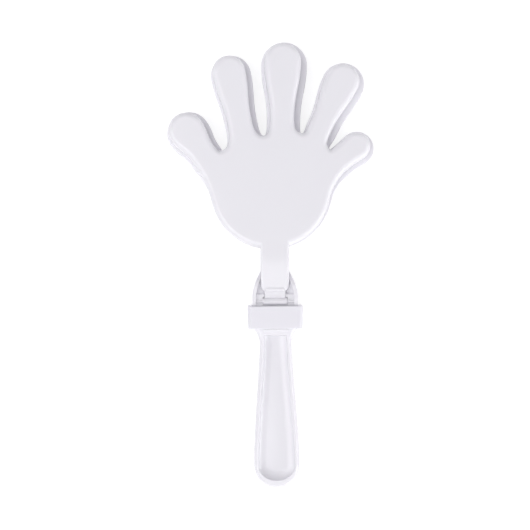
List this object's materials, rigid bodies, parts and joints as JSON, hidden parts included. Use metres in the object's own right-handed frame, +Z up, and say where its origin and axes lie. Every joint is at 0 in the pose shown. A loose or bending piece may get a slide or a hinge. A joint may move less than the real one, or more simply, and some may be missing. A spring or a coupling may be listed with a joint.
{
  "type": "hand clapper",
  "caption": "Party clapper: a flat hand on a dished grip with a hollow hand hinged on each face, the hinges locked by a push-on collar; shaking it claps the hands.",
  "frame": {"origin": "middle of the underside's bounding box, with the clapper lying on its back", "axes": "+X across the hand towards the little finger, +Y from the grip's end to the fingertips, +Z up through the front hand"},
  "size_m": [0.1306, 0.2808, 0.019],
  "materials": {
    "hand_plastic": "glossy white polystyrene as moulded",
    "centre_plastic": "glossy white polystyrene as moulded",
    "collar_plastic": "white polypropylene as moulded, a little softer in its shine"
  },
  "bodies": {
    "middle_hand": {"centre_palm": "centre_plastic", "collar": "collar_plastic"},
    "front_hand": {"front_palm": "hand_plastic"},
    "back_hand": {"back_palm": "hand_plastic"}
  },
  "joints": [
    {"name": "front_hand_swing", "type": "hinge", "parent": "middle_hand", "child": "front_hand", "pos_m": [0.0018, -0.0233, 0.0144], "axis": [1, 0, 0], "range_deg": [0, 35]},
    {"name": "back_hand_swing", "type": "hinge", "parent": "middle_hand", "child": "back_hand", "pos_m": [0.0018, -0.0233, 0.0046], "axis": [-1, 0, 0], "range_deg": [0, 35]}
  ]
}
